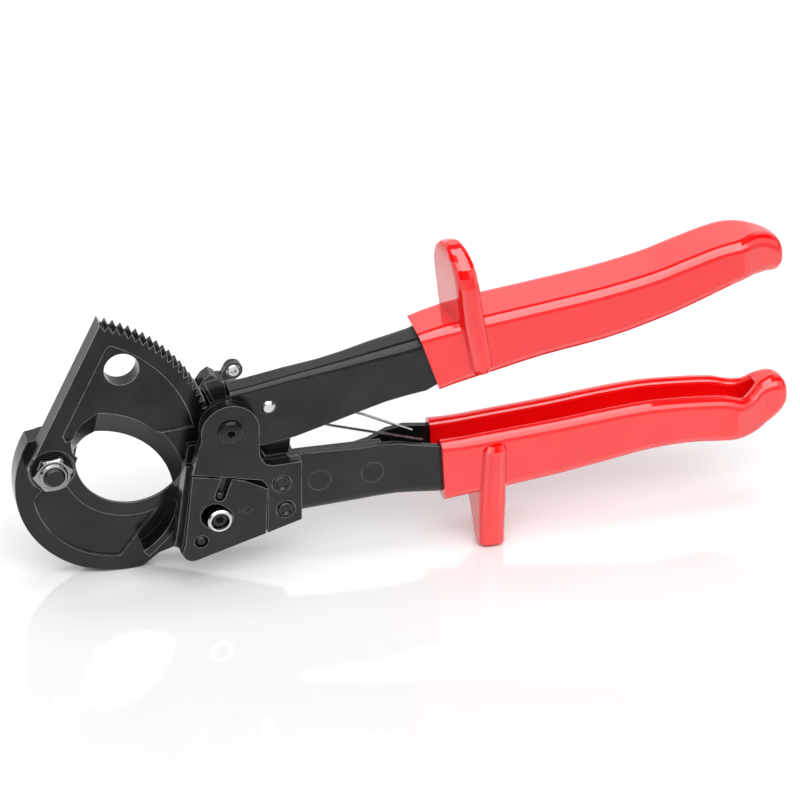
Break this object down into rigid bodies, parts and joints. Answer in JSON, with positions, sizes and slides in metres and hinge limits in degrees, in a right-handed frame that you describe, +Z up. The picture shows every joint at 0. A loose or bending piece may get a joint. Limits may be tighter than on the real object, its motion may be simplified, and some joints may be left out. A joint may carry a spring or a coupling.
{
  "type": "ratchet cable cutter",
  "caption": "One-hand ratchet cable cutter: hook jaw, toothed round blade, steel frame with pawls and red dipped grips with finger guards.",
  "frame": {"origin": "centre of the box round the part, on the ground it stands on", "axes": "+X from the jaws towards the handle ends, -Y out of the front side plate, +Z up"},
  "size_m": [0.2633, 0.0292, 0.1107],
  "materials": {
    "black_oxide_steel": "black oxide, satin",
    "ground_blade_steel": "black oxide with ground cutting edge",
    "zinc_plated_steel": "bright plated",
    "spring_wire": "drawn wire",
    "red_dipped_vinyl": "glossy dip coat"
  },
  "bodies": {
    "frame": {"fixed_jaw": "black_oxide_steel", "front_side_plate": "black_oxide_steel", "inner_side_plate": "black_oxide_steel", "pawl_cover_plate": "black_oxide_steel", "inner_tang": "black_oxide_steel", "frame_spacer": "black_oxide_steel", "lower_handle_channel": "black_oxide_steel", "lower_grip": "red_dipped_vinyl", "frame_rivet_upper": "black_oxide_steel", "frame_rivet_lower": "black_oxide_steel", "tang_rivet_front": "black_oxide_steel", "tang_rivet_rear": "black_oxide_steel", "blade_pivot_bolt": "zinc_plated_steel", "blade_washer": "zinc_plated_steel", "blade_lock_nut": "zinc_plated_steel", "cover_pin_upper": "black_oxide_steel", "cover_pin_lower": "black_oxide_steel", "handle_pivot_screw": "black_oxide_steel", "holding_pawl_pin": "black_oxide_steel", "holding_pawl_spring": "spring_wire", "handle_stop_block": "black_oxide_steel"},
    "handle": {"upper_handle_channel": "black_oxide_steel", "upper_grip": "red_dipped_vinyl", "handle_pivot_bush": "black_oxide_steel", "drive_pawl_pin": "zinc_plated_steel"},
    "drive_pawl_group": {"drive_pawl": "black_oxide_steel", "pawl_lift_lever": "black_oxide_steel", "pawl_lift_pin": "zinc_plated_steel"},
    "spring": {"return_spring": "spring_wire"},
    "blade": {"moving_blade": "ground_blade_steel", "blade_bush": "zinc_plated_steel"},
    "holding_pawl_group": {"holding_pawl": "black_oxide_steel", "release_knob": "zinc_plated_steel", "release_knob_screw": "black_oxide_steel"}
  },
  "joints": [
    {"name": "handle_pivot", "type": "hinge", "parent": "frame", "child": "handle", "pos_m": [-0.06435, -0.00735, 0.0577], "axis": [0, 1, 0], "range_deg": [0, 11], "stiffness_Nm_per_rad": 1.5, "springref_deg": -20.05},
    {"name": "drive_pawl_pivot", "type": "hinge", "parent": "handle", "child": "drive_pawl_group", "pos_m": [-0.05095, -0.00465, 0.0627], "axis": [0, 1, 0], "range_deg": [-9.6, 0]},
    {"name": "return_spring_swing", "type": "hinge", "parent": "handle", "child": "spring", "pos_m": [-0.05095, -0.00365, 0.0627], "axis": [0, 1, 0], "range_deg": [-13.6, 0]},
    {"name": "blade_pivot", "type": "hinge", "parent": "frame", "child": "blade", "pos_m": [-0.12045, 0.00035, 0.0458], "axis": [0, 1, 0], "range_deg": [0, 57]},
    {"name": "holding_pawl_pivot", "type": "hinge", "parent": "frame", "child": "holding_pawl_group", "pos_m": [-0.05725, -0.00165, 0.041], "axis": [0, 1, 0], "range_deg": [0, 6]}
  ],
  "couplings": [
    {"joint": "drive_pawl_pivot", "follows": "handle_pivot", "ratio": -0.83},
    {"joint": "return_spring_swing", "follows": "handle_pivot", "ratio": -1.21}
  ]
}
